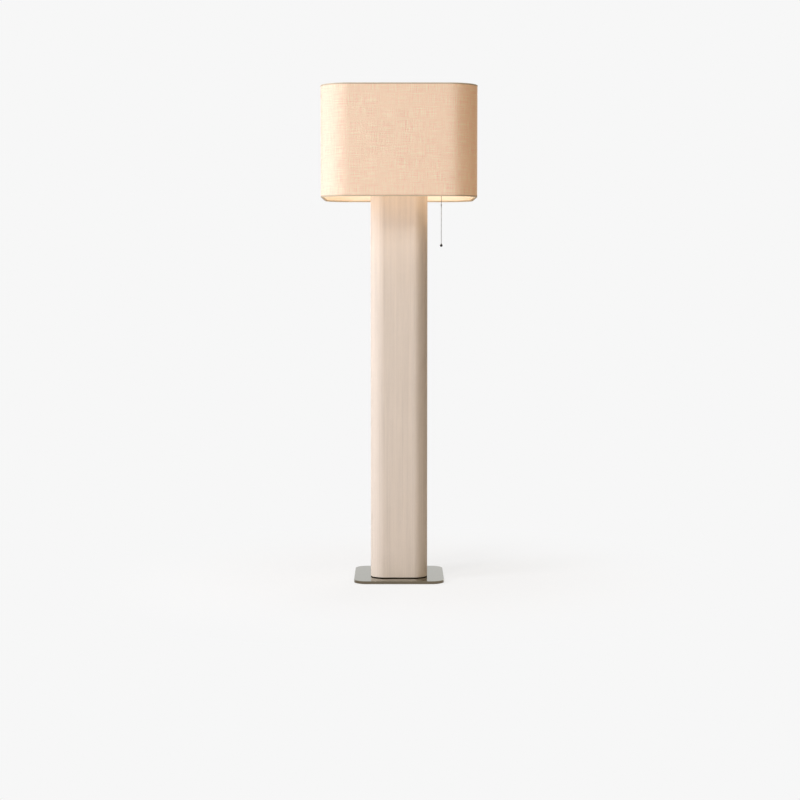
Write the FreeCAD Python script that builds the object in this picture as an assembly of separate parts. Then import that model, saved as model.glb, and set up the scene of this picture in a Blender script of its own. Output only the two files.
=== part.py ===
import FreeCAD, Part
import math
import os

# A column floor lamp, 1.8 m tall.  A linen drum shade with rounded corners stands round the top of a
# linen-covered column of the same plan form.  The column is bolted to a thin metal plate.  Inside the
# shade, a hub on the column's centre tube carries two arms with lamp holders, and the right-hand one
# has a pull-chain switch, whose chain hangs down past the column.
# +Z is up, -Y is the front, and the origin is the middle of the underside.  Lengths are millimetres.

# ---- driving dimensions: whole lamp ----
total_height = 1800.0
shade_height = 397.0
column_into_shade = 57.0

# ---- driving dimensions: base ----
plate_width = 330.0
plate_corner = 45.0
plate_thickness = 10.0
plate_edge_bevel = 0.8
pad_thickness = 1.5
pad_inset = 6.0
spacer_inset = 10.0
spacer_thickness = 3.0
base_screw_spacing = 130.0
base_screw_radius = 3.0
base_screw_head_radius = 6.0
base_screw_head_height = 3.3
base_screw_length = 26.0
insert_wall = 1.6
insert_length = 13.0
nut_recess_radius = 12.0
nut_recess_depth = 7.0

# ---- driving dimensions: column ----
column_width = 208.0
column_corner = 50.0
column_linen_thickness = 1.0
column_wall = 7.0
foot_block_thickness = 18.0
inner_board_thickness = 9.0
inner_board_count = 2
top_board_thickness = 12.0
tie_tube_radius = 5.0
tube_bore_radius = 3.5
nut_width = 17.0
nut_thickness = 6.0
washer_radius = 14.0
washer_thickness = 2.0

# ---- driving dimensions: lead inlet at the back of the column's foot ----
inlet_height = 60.0
inlet_bore_radius = 3.6
inlet_body_radius = 6.5
inlet_flange_radius = 9.0
inlet_flange_thickness = 2.0
inlet_tail = 2.0
lead_port_radius = 3.0

# ---- driving dimensions: hub and arms ----
sleeve_radius = 8.0
sleeve_height = 14.0
hub_radius = 20.0
hub_height = 34.0
hub_wall = 2.0
hub_floor = 3.0
hub_lid_thickness = 3.0
hub_lid_collar = 3.0
tube_in_hub = 9.0
arm_reach = 120.0
arm_radius = 5.0
arm_bore_radius = 3.5
arm_bend = 25.0
arm_rise = 6.0
arm_in_hub = 4.0
lead_radius = 1.5

# ---- driving dimensions: lamp holders and bulbs ----
holder_radius = 17.0
holder_skin = 0.8
cap_height = 22.0
cap_shoulder = 9.0
shell_height = 32.0
insulator_base = 14.0
socket_radius = 13.5
socket_skin = 0.4
bulb_cap_radius = 12.9
contact_radius = 4.0
contact_thickness = 3.0
bulb_cap_height = 25.0
bulb_tip_radius = 4.5
bulb_tip_height = 3.0
globe_radius = 30.0
globe_neck_radius = 12.6
globe_neck_height = 12.0
globe_centre_height = 67.0
globe_glass = 1.0
globe_waist_share = 0.3
globe_crown_angle = 80.0

# ---- driving dimensions: riser, shade carrier and finial ----
spider_drop = 34.0
seat_radius = 11.0
seat_thickness = 3.0
spider_washer_radius = 16.0
spider_washer_thickness = 2.5
spider_arm_radius = 2.0
spider_arm_count = 4
riser_above_washer = 9.0
finial_neck_radius = 7.0
finial_ball_radius = 8.0
finial_neck_height = 8.0
finial_tip_radius = 1.5

# ---- driving dimensions: shade ----
shade_width = 560.0
shade_corner = 105.0
shade_linen_thickness = 0.8
shade_liner_thickness = 0.8
ring_wire_radius = 2.0
hem_thickness = 0.6
hem_height = 5.0

# ---- driving dimensions: pull switch ----
pull_from_holder = 36.0
pull_stroke = 12.0
winding_radius = 6.0
drum_rim_radius = 7.5
drum_rim_width = 2.0
drum_groove_width = 4.0
ratchet_thickness = 2.2
ratchet_teeth = 8
ratchet_tooth_depth = 1.6
axle_radius = 1.5
drum_above_cap_foot = 30.0
switch_half_depth = 9.0
switch_wall = 1.6
switch_corner = 4.0
switch_above_drum = 10.5
spring_closed_length = 8.0
spring_radius = 3.0
spring_wall = 0.6
collar_thickness = 1.4
collar_below_drum = 2.0
guide_radius = 3.2
guide_lip_radius = 4.4
guide_height = 10.0
cover_screw_radius = 1.2
cover_screw_head = 2.0
cover_screw_head_height = 1.0
cover_screw_length = 6.0
cover_screw_edge = 0.5

# ---- driving dimensions: pull chain ----
bead_radius = 1.6
bead_pitch = 4.3
link_wire_radius = 0.5
upper_chain_length = 124.5
coupling_length = 8.0
coupling_radius = 2.1
lower_chain_length = 135.5
bell_height = 4.0
bell_top_radius = 1.3
bell_foot_radius = 2.4
ball_radius = 5.0
link_neck = 1.2
ball_foot_angle = -80.0

# ---- flat sides of the small round pieces ----
turned_sides = 16
screw_sides = 8
wire_sides = 6
bend_steps = 5
ball_steps = 6

# ---- clearances ----
glue_gap = 0.2
bore_gap = 0.2
thread_gap = 0.05
weld_gap = 0.3
running_gap = 0.05
swing_gap = 0.8
chain_gap = 0.4
winding_gap = 0.1
drum_gap = 0.7

# ---- heights and half widths that follow from them ----
shade_half = shade_width / 2
column_half = column_width / 2
plate_half = plate_width / 2
shade_bottom = total_height - shade_height
column_top = shade_bottom + column_into_shade
plate_top = pad_thickness + plate_thickness
column_bottom = plate_top + spacer_thickness
core_half = column_half - column_linen_thickness
core_corner = column_corner - column_linen_thickness
core_inner_half = core_half - column_wall
core_inner_corner = core_corner - column_wall
foot_block_top = column_bottom + foot_block_thickness
recess_ceiling = pad_thickness + nut_recess_depth
tube_hole_radius = tie_tube_radius + bore_gap
screw_hole_radius = base_screw_radius + bore_gap

cap_nut_bottom = column_top + washer_thickness
sleeve_bottom = cap_nut_bottom + nut_thickness
hub_bottom = sleeve_bottom + sleeve_height
hub_top = hub_bottom + hub_height
hub_tube_top = hub_bottom + tube_in_hub
hub_inner_radius = hub_radius - hub_wall
arm_height = hub_bottom + hub_height / 2
lid_collar_bottom = hub_top - hub_lid_collar
riser_bottom = lid_collar_bottom - nut_thickness - (tube_in_hub - hub_floor - nut_thickness) - thread_gap

holder_foot = arm_height + arm_bend
arm_top = holder_foot + arm_rise
cap_top = holder_foot + cap_height
holder_top = cap_top + shell_height
insulator_bottom = arm_top + glue_gap
socket_floor = insulator_bottom + insulator_base
bulb_tip = socket_floor + contact_thickness
bulb_cap_bottom = bulb_tip + bulb_tip_height
globe_bottom = bulb_cap_bottom + bulb_cap_height

spider_washer_bottom = total_height - spider_drop
spider_washer_top = spider_washer_bottom + spider_washer_thickness
riser_top = spider_washer_top + riser_above_washer
liner_half = shade_half - shade_linen_thickness
liner_corner = shade_corner - shade_linen_thickness
liner_inner_half = liner_half - shade_liner_thickness
liner_inner_corner = liner_corner - shade_liner_thickness
ring_half = liner_inner_half - glue_gap - ring_wire_radius
ring_corner = liner_inner_corner - glue_gap - ring_wire_radius
top_ring_height = total_height - hem_thickness - glue_gap - ring_wire_radius
bottom_ring_height = shade_bottom + hem_thickness + glue_gap + ring_wire_radius

pull_offset = arm_reach + pull_from_holder
drum_offset = pull_offset - winding_radius
drum_height = holder_foot + drum_above_cap_foot
groove_radius = winding_radius - bead_radius - winding_gap
drum_half_groove = drum_groove_width / 2
drum_half_width = drum_half_groove + drum_rim_width
drum_cavity_radius = drum_rim_radius + drum_gap
collar_top = drum_height - drum_rim_radius - collar_below_drum
collar_bottom = collar_top - collar_thickness
spring_bottom = collar_bottom - spring_closed_length - pull_stroke
switch_bottom = spring_bottom - switch_wall
switch_top = drum_height + switch_above_drum
switch_right = pull_offset + guide_lip_radius + switch_wall
cover_back = switch_wall - switch_half_depth
chain_bore_radius = bead_radius + chain_gap
guide_bottom = switch_bottom - guide_height
hook_end = guide_bottom - chain_gap
mouth_pivot = hook_end - swing_gap / 2
upper_chain_top = hook_end - swing_gap
coupling_top = upper_chain_top - upper_chain_length
coupling_bottom = coupling_top - coupling_length
coupling_pivot = coupling_bottom - swing_gap / 2
lower_chain_top = coupling_bottom - swing_gap
bell_top = lower_chain_top - lower_chain_length
bell_foot = bell_top - bell_height
ball_height = bell_foot - math.sqrt(ball_radius ** 2 - bell_foot_radius ** 2)

UP = FreeCAD.Vector(0, 0, 1)
BACK = FreeCAD.Vector(0, 1, 0)
RIGHT = FreeCAD.Vector(1, 0, 0)


def point(x, y, z):
    return FreeCAD.Vector(x, y, z)


# ---- forms that several pieces share ----
def rounded_square(half, corner, z):
    """A square outline with round corners, in a level plane."""
    straight = half - corner
    edges = []
    for turn in range(4):
        start = turn * math.pi / 2
        ends = []
        for step in (0, 1, 2):
            angle = start + step * math.pi / 4
            ends.append((math.cos(angle), math.sin(angle)))
        sign_x = math.copysign(1, math.cos(start + math.pi / 4))
        sign_y = math.copysign(1, math.sin(start + math.pi / 4))
        centre_x = sign_x * straight
        centre_y = sign_y * straight
        arc = [point(centre_x + corner * c, centre_y + corner * s, z) for c, s in ends]
        if edges:
            edges.append(Part.makeLine(last, arc[0]))
        else:
            first = arc[0]
        edges.append(Part.Arc(*arc).toShape())
        last = arc[2]
    edges.append(Part.makeLine(last, first))
    return Part.Wire(edges)


def slab(half, corner, z0, z1):
    return Part.Face(rounded_square(half, corner, z0)).extrude(UP * (z1 - z0))


def sleeve(half, corner, wall, z0, z1):
    return slab(half, corner, z0, z1).cut(slab(half - wall, corner - wall, z0, z1))


def ring_of_corners(centre, across, up, radius, sides):
    """The corners of a flat-sided round section, in the plane of two square directions."""
    corners = []
    for side in range(sides):
        angle = 2 * math.pi * side / sides
        corners.append(centre + across * (radius * math.cos(angle)) + up * (radius * math.sin(angle)))
    return corners


def flat_sided(rings):
    """A solid with flat sides through rings of corners, from the first ring to the last."""
    outlines = [rings[0], rings[-1]]
    for near, far in zip(rings, rings[1:]):
        for side in range(len(near)):
            outlines.append([near[side - 1], near[side], far[side], far[side - 1]])
    faces = [Part.Face(Part.makePolygon(outline + outline[:1])) for outline in outlines]
    solid = Part.Solid(Part.Shell(faces))
    if solid.Volume < 0:
        solid.reverse()
    return solid


def turned(outline, x=0.0, y=0.0, sides=turned_sides):
    """Steps of (radius, height) round an upright axis; two steps at one height make a shoulder."""
    return flat_sided([ring_of_corners(point(x, y, height), RIGHT, BACK, radius, sides)
                       for radius, height in outline])


def bar(radius, x, y, z0, z1, sides=turned_sides):
    return turned([(radius, z0), (radius, z1)], x, y, sides)


def pipe(radius, bore, x, y, z0, z1, sides=turned_sides):
    return bar(radius, x, y, z0, z1, sides).cut(bar(bore, x, y, z0, z1, sides))


def bar_to_back(radius, x, y0, y1, z, sides=turned_sides):
    """A straight bar along Y."""
    return flat_sided([ring_of_corners(point(x, y, z), RIGHT, UP, radius, sides) for y in (y0, y1)])


def ball_outline(radius, centre, low, high):
    """Steps of (radius, height) on a ball, between two angles from its level plane."""
    outline = []
    for step in range(ball_steps + 1):
        angle = low + (high - low) * step / ball_steps
        outline.append((radius * math.cos(angle), centre + radius * math.sin(angle)))
    return outline


def hexagon_nut(z0, z1, bore):
    corner = nut_width / math.sqrt(3)
    return bar(corner, 0, 0, z0, z1, 6).cut(bar(bore, 0, 0, z0, z1))


def four_corners(spacing):
    return [(sx * spacing / 2, sy * spacing / 2) for sx in (-1, 1) for sy in (-1, 1)]


# ---- base ----
def make_base_pad():
    return slab(plate_half - pad_inset, plate_corner - pad_inset, 0, pad_thickness)


def make_base_plate():
    plate = slab(plate_half, plate_corner, pad_thickness, plate_top)
    rim = [edge for edge in plate.Edges if min(v.Z for v in edge.Vertexes) > plate_top - running_gap]
    plate = plate.makeChamfer(plate_edge_bevel, rim)
    plate = plate.cut(bar(tube_hole_radius, 0, 0, 0, plate_top))
    plate = plate.cut(bar(nut_recess_radius, 0, 0, 0, recess_ceiling))
    head_radius = base_screw_head_radius + bore_gap
    head_top = pad_thickness + base_screw_head_height + bore_gap
    for x, y in four_corners(base_screw_spacing):
        way = turned([(head_radius, pad_thickness), (screw_hole_radius, head_top),
                      (screw_hole_radius, plate_top)], x, y, screw_sides)
        plate = plate.cut(way)
    return plate


def pierced_board(half, corner, z0, z1):
    return slab(half, corner, z0, z1).cut(bar(tube_hole_radius, 0, 0, z0, z1))


def make_shadow_spacer():
    half = column_half - spacer_inset
    board = pierced_board(half, column_corner - spacer_inset, plate_top, column_bottom)
    for x, y in four_corners(base_screw_spacing):
        board = board.cut(bar(screw_hole_radius, x, y, plate_top, column_bottom, screw_sides))
    return board


def make_base_screws():
    neck = pad_thickness + base_screw_head_height
    outline = [(base_screw_head_radius, pad_thickness), (base_screw_radius, neck),
               (base_screw_radius, pad_thickness + base_screw_length)]
    return Part.makeCompound([turned(outline, x, y, screw_sides)
                              for x, y in four_corners(base_screw_spacing)])


def make_screw_inserts():
    bore = base_screw_radius + thread_gap
    outer = base_screw_radius + insert_wall
    top = column_bottom + insert_length
    return Part.makeCompound([pipe(outer, bore, x, y, column_bottom, top, screw_sides)
                              for x, y in four_corners(base_screw_spacing)])


# ---- column ----
def inlet_hole(radius):
    """The round way through the column's back wall, for the lead bush."""
    depth = column_wall + column_linen_thickness + inlet_tail
    return bar_to_back(radius, 0, column_half - depth, column_half, inlet_height)


def make_column_core():
    core = sleeve(core_half, core_corner, column_wall, column_bottom, column_top)
    return core.cut(inlet_hole(inlet_body_radius + glue_gap))


def make_column_linen():
    linen = sleeve(column_half, column_corner, column_linen_thickness, column_bottom, column_top)
    return linen.cut(inlet_hole(inlet_body_radius + glue_gap))


def core_board(z0, z1):
    return pierced_board(core_inner_half - glue_gap, core_inner_corner - glue_gap, z0, z1)


def make_foot_block():
    block = core_board(column_bottom, foot_block_top)
    insert_hole = base_screw_radius + insert_wall + glue_gap
    for x, y in four_corners(base_screw_spacing):
        block = block.cut(bar(insert_hole, x, y, column_bottom, foot_block_top, screw_sides))
    return block


def make_inner_boards():
    clear = column_top - column_bottom
    boards = []
    for index in range(inner_board_count):
        middle = column_bottom + clear * (index + 1) / (inner_board_count + 1)
        half_board = inner_board_thickness / 2
        boards.append(core_board(middle - half_board, middle + half_board))
    return Part.makeCompound(boards)


def make_top_board():
    return core_board(column_top - top_board_thickness, column_top)


def make_tie_tube():
    foot = recess_ceiling - nut_thickness
    tube = pipe(tie_tube_radius, tube_bore_radius, 0, 0, foot, hub_tube_top)
    return tube.cut(bar_to_back(lead_port_radius, 0, 0, tie_tube_radius, inlet_height, screw_sides))


def make_tube_washer():
    return pipe(washer_radius, tube_hole_radius, 0, 0, column_top, cap_nut_bottom)


def make_tube_nuts():
    bore = tie_tube_radius + thread_gap
    floor = hub_bottom + hub_floor
    seats = (recess_ceiling - nut_thickness, cap_nut_bottom, floor, lid_collar_bottom - nut_thickness)
    return Part.makeCompound([hexagon_nut(seat, seat + nut_thickness, bore) for seat in seats])


def make_lead_bush():
    start = column_half - column_wall - column_linen_thickness - inlet_tail
    end = column_half + inlet_flange_thickness
    body = bar_to_back(inlet_body_radius, 0, start, column_half, inlet_height)
    flange = bar_to_back(inlet_flange_radius, 0, column_half, end, inlet_height)
    bore = Part.makeCylinder(inlet_bore_radius, end - start, point(0, start, inlet_height), BACK)
    return body.fuse(flange).removeSplitter().cut(bore)


# ---- hub and arms ----
def make_stem_sleeve():
    return pipe(sleeve_radius, tube_hole_radius, 0, 0, sleeve_bottom, hub_bottom)


def make_hub_cup():
    outer = turned([(hub_radius - hub_wall, hub_bottom), (hub_radius, hub_bottom + hub_wall),
                    (hub_radius, hub_top)])
    room = bar(hub_inner_radius, 0, 0, hub_bottom + hub_floor, hub_top)
    centre_hole = bar(tube_hole_radius, 0, 0, hub_bottom, hub_top)
    ends = [point(-hub_radius, 0, arm_height), point(hub_radius, 0, arm_height)]
    arm_way = flat_sided([ring_of_corners(end, BACK, UP, arm_radius + thread_gap, turned_sides)
                          for end in ends])
    return outer.cut(room).cut(centre_hole).cut(arm_way)


def make_hub_lid():
    collar_radius = hub_inner_radius - running_gap
    lid_top = hub_top + hub_lid_thickness
    bevel = hub_lid_thickness / 2
    lid = turned([(collar_radius, lid_collar_bottom), (collar_radius, hub_top), (hub_radius, hub_top),
                  (hub_radius, lid_top - bevel), (hub_radius - bevel, lid_top)])
    return lid.cut(bar(tube_hole_radius, 0, 0, lid_collar_bottom, lid_top))


def bent_rod(side, radius, start, sides):
    """A rod from the hub, level and then bent upright, on the left (-1) or right (1)."""
    bend_start = arm_reach - arm_bend
    stations = [(start, arm_height, 0)]
    for step in range(bend_steps + 1):
        turn = math.pi / 2 * step / bend_steps
        reach = bend_start + arm_bend * math.sin(turn)
        stations.append((reach, holder_foot - arm_bend * math.cos(turn), turn))
    stations.append((arm_reach, arm_top, math.pi / 2))
    rings = []
    for reach, height, turn in stations:
        up = point(-side * math.sin(turn), 0, math.cos(turn))
        rings.append(ring_of_corners(point(side * reach, 0, height), BACK, up, radius, sides))
    return flat_sided(rings)


def make_arm(side):
    start = hub_radius - arm_in_hub
    bore = bent_rod(side, arm_bore_radius, start, screw_sides)
    return bent_rod(side, arm_radius, start, turned_sides).cut(bore)


def make_holder_lead(side):
    return bent_rod(side, lead_radius, hub_radius - arm_in_hub, wire_sides)


# ---- lamp holders and bulbs ----
def make_holder_cap(side):
    x = side * arm_reach
    shoulder = holder_foot + cap_shoulder
    neck = arm_radius + bore_gap
    waist = neck + 2 * holder_skin
    inner = holder_radius - holder_skin
    cap = turned([(waist, holder_foot), (holder_radius, shoulder), (holder_radius, cap_top)], x)
    room = turned([(neck, arm_top - holder_skin), (inner, shoulder + holder_skin), (inner, cap_top)], x)
    return cap.cut(room).cut(bar(neck, x, 0, holder_foot, arm_top))


def make_holder_shell(side):
    inner = holder_radius - holder_skin
    bead = holder_radius + holder_skin
    shell = turned([(holder_radius, cap_top), (holder_radius, holder_top - 2 * holder_skin),
                    (bead, holder_top - holder_skin), (bead, holder_top)], side * arm_reach)
    return shell.cut(bar(inner, side * arm_reach, 0, cap_top, holder_top))


def make_holder_insulator(side):
    x = side * arm_reach
    outer = holder_radius - holder_skin - glue_gap
    cone_top = holder_foot + cap_shoulder + arm_rise
    body = turned([(arm_radius, insulator_bottom), (outer, cone_top), (outer, holder_top)], x)
    return body.cut(bar(socket_radius + glue_gap, x, 0, socket_floor, holder_top))


def make_screw_shell(side):
    x = side * arm_reach
    return pipe(socket_radius, socket_radius - socket_skin, x, 0, socket_floor, holder_top)


def make_centre_contact(side):
    return bar(contact_radius, side * arm_reach, 0, socket_floor, bulb_tip)


def make_bulb_cap(side):
    return turned([(bulb_tip_radius, bulb_tip), (bulb_cap_radius, bulb_cap_bottom),
                   (bulb_cap_radius, globe_bottom)], side * arm_reach)


def globe_outline(inset):
    """The globe from its neck to its crown, inset by the glass on the inner side."""
    centre = globe_bottom + globe_centre_height
    neck_top = globe_bottom + globe_neck_height
    neck = globe_neck_radius - inset
    belly = ball_outline(globe_radius - inset, centre, -math.pi / 4, math.radians(globe_crown_angle))
    waist = (neck + (belly[0][0] - neck) * globe_waist_share, (neck_top + belly[0][1]) / 2)
    return [(neck, globe_bottom), (neck, neck_top), waist] + belly


def make_globe(side):
    inside = turned(globe_outline(globe_glass), side * arm_reach)
    return turned(globe_outline(0), side * arm_reach).cut(inside)


# ---- riser, shade carrier and finial ----
def make_riser_tube():
    return pipe(tie_tube_radius, tube_bore_radius, 0, 0, riser_bottom, riser_top)


def make_shade_seat():
    flange = spider_washer_bottom - seat_thickness
    foot = flange - seat_thickness
    bore = tie_tube_radius + thread_gap
    seat = turned([(bore + seat_thickness, foot), (seat_radius, flange),
                   (seat_radius, spider_washer_bottom)])
    return seat.cut(bar(bore, 0, 0, foot, spider_washer_bottom))


def make_spider_washer():
    return pipe(spider_washer_radius, tube_hole_radius, 0, 0, spider_washer_bottom, spider_washer_top)


def make_spider_arms():
    inner = point(spider_washer_radius + weld_gap, 0, spider_washer_bottom + spider_washer_thickness / 2)
    outer = point(ring_half - ring_wire_radius - weld_gap, 0, top_ring_height)
    along = (outer - inner).normalize()
    arm = flat_sided([ring_of_corners(end, BACK, along.cross(BACK), spider_arm_radius, wire_sides)
                      for end in (inner, outer)])
    turns = [arm.rotated(point(0, 0, 0), UP, turn * 360 / spider_arm_count)
             for turn in range(spider_arm_count)]
    return Part.makeCompound(turns)


def make_finial():
    neck_top = spider_washer_top + finial_neck_height
    centre = neck_top + finial_ball_radius
    crown = math.acos(finial_tip_radius / finial_ball_radius)
    knob = [(finial_neck_radius, spider_washer_top), (finial_neck_radius, neck_top)]
    knob += ball_outline(finial_ball_radius, centre, -math.pi / 4, crown)
    bore = tie_tube_radius + thread_gap
    return turned(knob).cut(bar(bore, 0, 0, spider_washer_top, riser_top + bore_gap))


# ---- shade ----
def make_shade_linen():
    return sleeve(shade_half, shade_corner, shade_linen_thickness,
                  shade_bottom + hem_thickness, total_height - hem_thickness)


def make_shade_liner():
    return sleeve(liner_half, liner_corner, shade_liner_thickness,
                  shade_bottom + hem_thickness, total_height - hem_thickness)


def make_ring(height):
    """A wire ring with flat sides, on the rounded square inside the shade."""
    path = rounded_square(ring_half, ring_corner, height)
    start = path.Edges[0].Vertexes[0].Point
    corners = ring_of_corners(start, RIGHT, UP, ring_wire_radius, wire_sides)
    return path.makePipeShell([Part.makePolygon(corners + corners[:1])], True, False)


def make_hem(open_end, closed_end):
    """A tape folded round the shade's edge and its ring; closed_end is the fold's outside."""
    outer_half = shade_half + hem_thickness
    inner_half = ring_half - ring_wire_radius - glue_gap - hem_thickness
    low, high = sorted((open_end, closed_end))
    wall = outer_half - inner_half
    tape = sleeve(outer_half, shade_corner + hem_thickness, wall, low, high)
    fold = math.copysign(hem_thickness, closed_end - open_end)
    low, high = sorted((open_end, closed_end - fold))
    room = sleeve(shade_half, shade_corner, wall - 2 * hem_thickness, low, high)
    return tape.cut(room)


def make_top_hem():
    """The top tape is notched on the inside where the spider's arms reach the ring."""
    hem = make_hem(total_height - hem_height, total_height)
    notch_half = spider_arm_radius + bore_gap
    inner_half = ring_half - ring_wire_radius - glue_gap - hem_thickness
    low = total_height - hem_height
    reach = inner_half + 2 * hem_thickness
    for turn in range(spider_arm_count):
        notch = Part.makeBox(reach, 2 * notch_half, hem_height - hem_thickness, point(0, -notch_half, low))
        hem = hem.cut(notch.rotated(point(0, 0, 0), UP, turn * 360 / spider_arm_count))
    return hem


# ---- pull switch ----
def switch_block(y0, y1):
    """The switch's outline, with bevelled edges and a hollow that sits against the lamp holder."""
    left = arm_reach + holder_radius * math.sqrt(0.5)
    block = Part.makeBox(switch_right - left, y1 - y0, switch_top - switch_bottom,
                         point(left, y0, switch_bottom))
    outer = [edge for edge in block.Edges
             if edge.CenterOfMass.x > switch_right - running_gap and abs(edge.tangentAt(0).y) > 0.9]
    block = block.makeChamfer(switch_corner, outer)
    seat = bar(holder_radius + bore_gap, arm_reach, 0, switch_bottom, switch_top)
    return block.cut(seat)


def make_switch_housing():
    housing = switch_block(cover_back, switch_half_depth)
    room_back = switch_half_depth - switch_wall
    drum_room = bar_to_back(drum_cavity_radius, drum_offset, cover_back, room_back, drum_height)
    room_half = spring_radius + chain_gap
    spring_room = Part.makeBox(2 * room_half, room_half - cover_back, drum_height - spring_bottom,
                               point(pull_offset - room_half, cover_back, spring_bottom))
    way = bar(chain_bore_radius, pull_offset, 0, switch_bottom, drum_height)
    axle_hole = bar_to_back(axle_radius + thread_gap, drum_offset, 0, switch_half_depth, drum_height)
    housing = housing.cut(drum_room).cut(spring_room).cut(way).cut(axle_hole)
    for x, z in cover_screw_places():
        housing = housing.cut(cover_screw_shank(thread_gap, x, z))
    return housing


def cover_screw_places():
    """One screw beside the spring room, and one in the top right corner, past the drum room."""
    beside_spring = (arm_reach + holder_radius + pull_offset - spring_radius) / 2
    corner_inset = cover_screw_head + cover_screw_edge
    return [(beside_spring, switch_bottom + switch_corner),
            (switch_right - corner_inset, switch_top - corner_inset)]


def cover_screw_shank(gap, x, z):
    start = -switch_half_depth
    return bar_to_back(cover_screw_radius + gap, x, start, start + cover_screw_length, z, screw_sides)


def make_switch_cover():
    cover = switch_block(-switch_half_depth, cover_back)
    for x, z in cover_screw_places():
        cover = cover.cut(cover_screw_shank(bore_gap, x, z))
    return cover


def make_cover_screws():
    screws = []
    face = -switch_half_depth
    for x, z in cover_screw_places():
        head = bar_to_back(cover_screw_head, x, face - cover_screw_head_height, face, z, screw_sides)
        screws.append(head.fuse(cover_screw_shank(0, x, z)).removeSplitter())
    return Part.makeCompound(screws)


def make_drum_axle():
    length = switch_half_depth - cover_back
    return Part.makeCylinder(axle_radius, length, point(drum_offset, cover_back, drum_height), BACK)


def ratchet_wheel(y0, y1):
    """Saw teeth: each rises slowly over one pitch and drops straight back."""
    root = drum_rim_radius - ratchet_tooth_depth
    corners = []
    for tooth in range(ratchet_teeth):
        angle = tooth * 2 * math.pi / ratchet_teeth
        for radius in (root, drum_rim_radius):
            across = radius * math.cos(angle)
            corners.append(point(drum_offset + across, y0, drum_height + radius * math.sin(angle)))
    corners.append(corners[0])
    return Part.Face(Part.makePolygon(corners)).extrude(BACK * (y1 - y0))


def make_ratchet_drum():
    steps = [(drum_rim_radius, -drum_half_width), (drum_rim_radius, -drum_half_groove),
             (groove_radius, -drum_half_groove), (groove_radius, drum_half_groove),
             (drum_rim_radius, drum_half_groove), (drum_rim_radius, drum_half_width)]
    drum = flat_sided([ring_of_corners(point(drum_offset, y, drum_height), RIGHT, UP, radius, turned_sides)
                       for radius, y in steps])
    bore_end = drum_half_width + ratchet_thickness
    drum = drum.fuse(ratchet_wheel(drum_half_width, bore_end))
    bore_radius = axle_radius + running_gap
    return drum.cut(bar_to_back(bore_radius, drum_offset, -drum_half_width, bore_end, drum_height))


def make_return_spring():
    return pipe(spring_radius, spring_radius - spring_wall, pull_offset, 0, spring_bottom, collar_bottom)


def make_chain_guide():
    lip = guide_lip_radius - guide_radius
    outer = turned([(guide_lip_radius, guide_bottom), (guide_radius, guide_bottom + 2 * lip),
                    (guide_radius, switch_bottom)], pull_offset)
    mouth = turned([(chain_bore_radius + lip / 2, guide_bottom), (chain_bore_radius, guide_bottom + lip),
                    (chain_bore_radius, switch_bottom)], pull_offset)
    return outer.cut(mouth)


# ---- pull chain ----
def bead_outline(top, bottom, neck):
    """Beads at an even pitch, from the top down to the bottom, under a neck of bare link wire."""
    first = top - neck
    count = max(1, round((first - bottom) / bead_pitch))
    pitch = (first - bottom) / count
    steps = [(link_wire_radius, top), (link_wire_radius, first)] if neck else [(link_wire_radius, top)]
    for bead in range(count):
        steps.append((bead_radius, first - (bead + 0.5) * pitch))
        steps.append((link_wire_radius, first - (bead + 1) * pitch))
    return steps


def make_pull_hook():
    """The chain's inner end: a tail beside the drum, the collar that the spring pushes up, and beads."""
    inner_end = [(bead_radius, drum_height), (bead_radius, collar_top), (spring_radius, collar_top),
                 (spring_radius, collar_bottom)]
    return turned(inner_end + bead_outline(collar_bottom, hook_end, 0), pull_offset, 0, wire_sides)


def make_upper_chain():
    return turned(bead_outline(upper_chain_top, coupling_top, link_neck), pull_offset, 0, wire_sides)


def make_chain_coupling():
    bevel = coupling_radius / 2
    return turned([(bevel, coupling_top), (coupling_radius, coupling_top - bevel),
                   (coupling_radius, coupling_bottom + bevel), (bevel, coupling_bottom)], pull_offset)


def make_lower_chain():
    return turned(bead_outline(lower_chain_top, bell_top, link_neck), pull_offset, 0, wire_sides)


def make_chain_bell():
    return turned([(bell_top_radius, bell_top), (bell_foot_radius, bell_foot)], pull_offset)


def make_pull_ball():
    crown = math.asin((bell_foot - ball_height) / ball_radius)
    foot = math.radians(ball_foot_angle)
    return turned(ball_outline(ball_radius, ball_height, foot, crown), pull_offset)


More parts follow.
